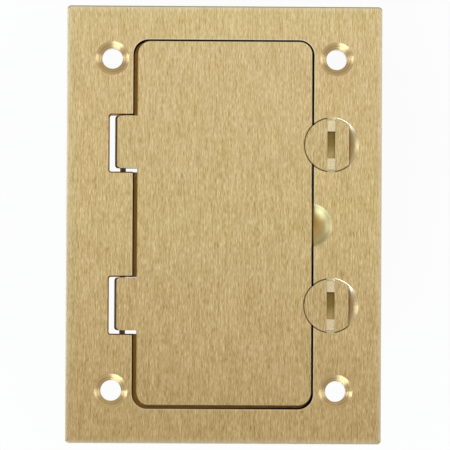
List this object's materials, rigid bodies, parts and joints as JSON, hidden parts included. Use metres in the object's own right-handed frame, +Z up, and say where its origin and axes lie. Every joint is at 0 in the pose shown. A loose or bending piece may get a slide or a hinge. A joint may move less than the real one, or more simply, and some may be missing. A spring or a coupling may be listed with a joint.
{
  "type": "floor socket cover",
  "caption": "Brushed brass floor socket cover with a hinged flap, two coin-slot turn latches and a duplex receptacle below.",
  "frame": {"origin": "middle of the cover's outline, on the seating plane under the floor gasket", "axes": "+Z up out of the floor, +X across the cover from hinge to latches, +Y along its length"},
  "size_m": [0.0826, 0.1146, 0.0343],
  "materials": {
    "brass_plate": "vertical satin brush, solid brass",
    "brass_lid": "vertical satin brush, solid brass",
    "brass_latch": "turned and lightly brushed solid brass",
    "brass_inner": "milled brass, left plain",
    "steel_pin": "dark drawn steel",
    "steel_screw": "zinc-plated steel",
    "spring_steel": "oiled spring steel",
    "seal_rubber": "nitrile rubber",
    "gasket_rubber": "closed-cell rubber sheet",
    "zinc_strap": "zinc-plated steel strap",
    "face_plastic": "moulded thermoplastic, low gloss",
    "housing_plastic": "moulded thermoset, matt",
    "contact_brass": "plain stamped brass",
    "contact_silver": "nickel-plated brass",
    "ground_green": "green-dyed steel"
  },
  "bodies": {
    "cover": {"cover_plate": "brass_plate", "hinge_pin_upper": "steel_pin", "hinge_pin_lower": "steel_pin", "pin_keepers": "brass_inner", "keeper_screws": "steel_screw", "lid_gasket": "gasket_rubber", "floor_gasket": "gasket_rubber", "mounting_strap": "zinc_strap", "strap_screws": "steel_screw", "receptacle_face": "face_plastic", "receptacle_housing": "housing_plastic", "device_screws": "steel_screw", "hot_contact": "contact_brass", "neutral_contact": "contact_silver", "ground_contact": "contact_brass", "hot_terminal_screws": "contact_brass", "neutral_terminal_screws": "contact_silver", "ground_terminal_screw": "ground_green", "hot_wire_clamps": "contact_brass", "neutral_wire_clamps": "contact_silver"},
    "flap": {"lid": "brass_lid"},
    "upper_latch": {"latch_upper": "brass_latch", "latch_seal_upper": "seal_rubber", "latch_spring_upper": "spring_steel", "latch_clip_upper": "spring_steel"},
    "lower_latch": {"latch_lower": "brass_latch", "latch_seal_lower": "seal_rubber", "latch_spring_lower": "spring_steel", "latch_clip_lower": "spring_steel"}
  },
  "joints": [
    {"name": "lid_hinge", "type": "hinge", "parent": "cover", "child": "flap", "pos_m": [-0.0265, 0, 0.0055], "axis": [0, -1, 0], "range_deg": [0, 132]},
    {"name": "upper_latch_turn", "type": "hinge", "parent": "cover", "child": "upper_latch", "pos_m": [0.028, 0.02105, 0.0054], "axis": [0, 0, 1], "range_deg": [0, 180]},
    {"name": "lower_latch_turn", "type": "hinge", "parent": "cover", "child": "lower_latch", "pos_m": [0.028, -0.02105, 0.0054], "axis": [0, 0, 1], "range_deg": [0, 180]}
  ]
}
